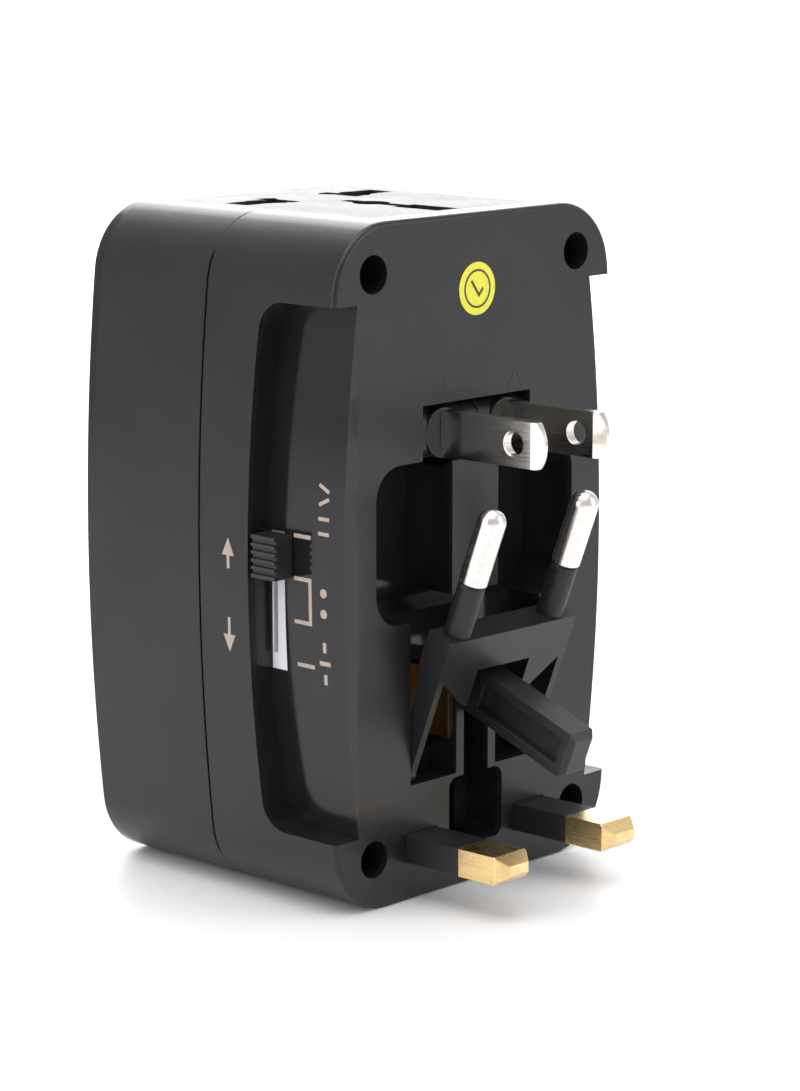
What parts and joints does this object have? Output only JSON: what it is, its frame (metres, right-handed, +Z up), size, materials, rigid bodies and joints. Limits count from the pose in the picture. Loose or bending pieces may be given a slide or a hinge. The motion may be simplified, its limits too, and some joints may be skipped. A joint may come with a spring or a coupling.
{
  "type": "universal travel adapter",
  "caption": "Pocket travel adapter with fold-out plug pins, a sliding selector, a universal outlet and charging ports.",
  "frame": {"origin": "middle of the flat base, on the plane where the two shells meet", "axes": "+X across the width, +Y out of the plug face, +Z up to the outlet"},
  "size_m": [0.0596, 0.066, 0.0932],
  "materials": {
    "body_plastic": "black ABS, satin outside and glossy in its recesses",
    "grained_plastic": "black plastic with a fine moulded grain",
    "trim_metal": "dark metal brushed from top to bottom",
    "lens_plastic": "pink translucent plastic",
    "led_plastic": "clear red epoxy",
    "board": "green lacquered circuit board",
    "steel": "bright steel",
    "nickel": "nickel-plated brass",
    "brass": "bare brass",
    "white_plastic": "white nylon",
    "component_plastic": "black epoxy",
    "core": "ferrite core with yellow tape",
    "can": "sleeved aluminium can",
    "winding": "lacquered copper winding",
    "laminate": "brown laminate",
    "cable": "soft insulation",
    "ceramic": "ceramic",
    "label": "plain yellow sticker"
  },
  "bodies": {
    "housing": {"front_housing": "body_plastic", "rear_housing": "body_plastic", "front_panel": "grained_plastic", "trim_plate": "trim_metal", "led_lenses": "lens_plastic", "leds": "led_plastic", "led_boards": "board", "usb_shells": "steel", "usb_tongues": "white_plastic", "usb_contacts": "brass", "usb_board": "board", "board_screws": "steel", "transformer": "core", "capacitors": "can", "control_chips": "component_plastic", "choke_coil": "winding", "socket_panel": "body_plastic", "socket_block": "component_plastic", "socket_contact_line": "brass", "socket_contact_neutral": "brass", "fuse": "ceramic", "fuse_clips": "brass", "mains_wires": "cable", "us_axle": "steel", "eu_hinge_pins": "steel", "eu_contacts": "brass", "earth_hinge_pin": "steel", "switch_guide": "white_plastic", "switch_base": "laminate", "switch_pads": "brass", "housing_screws": "steel", "inspection_label": "label"},
    "us_hinge_block": {"us_carriage": "body_plastic"},
    "us_pin_left": {"us_blade_left": "nickel", "us_disc_left": "body_plastic"},
    "us_pin_right": {"us_blade_right": "nickel", "us_disc_right": "body_plastic"},
    "eu_plug": {"eu_carrier": "body_plastic", "eu_pins": "nickel", "eu_sleeves": "body_plastic"},
    "uk_slider": {"uk_pins": "brass", "uk_sleeves": "body_plastic", "uk_carriage": "component_plastic"},
    "earth_lever": {"earth_prong": "body_plastic"},
    "selector": {"switch_knob": "body_plastic", "switch_slider": "white_plastic", "switch_contacts": "brass"}
  },
  "joints": [
    {"name": "us_fold", "type": "hinge", "parent": "housing", "child": "us_hinge_block", "pos_m": [0, 0.0198, 0.0639], "axis": [1, 0, 0], "range_deg": [-90, 0]},
    {"name": "us_twist_left", "type": "hinge", "parent": "us_hinge_block", "child": "us_pin_left", "pos_m": [0.00635, 0.0198, 0.0639], "axis": [0, -1, 0], "range_deg": [0, 30]},
    {"name": "us_twist_right", "type": "hinge", "parent": "us_hinge_block", "child": "us_pin_right", "pos_m": [-0.00635, 0.0198, 0.0639], "axis": [0, 1, 0], "range_deg": [0, 30]},
    {"name": "eu_fold", "type": "hinge", "parent": "housing", "child": "eu_plug", "pos_m": [0, 0.0223, 0.0175], "axis": [-1, 0, 0], "range_deg": [-21, 69]},
    {"name": "earth_fold", "type": "hinge", "parent": "housing", "child": "earth_lever", "pos_m": [0, 0.0201, 0.0297], "axis": [-1, 0, 0], "range_deg": [-21, 69]},
    {"name": "uk_slide", "type": "slide", "parent": "housing", "child": "uk_slider", "axis": [0, 1, 0], "range_m": [-0.0179, 0]},
    {"name": "switch_slide", "type": "slide", "parent": "housing", "child": "selector", "axis": [0, 0, 1], "range_m": [-0.0117, 0]}
  ],
  "couplings": [
    {"joint": "earth_fold", "follows": "eu_fold", "ratio": 1}
  ]
}
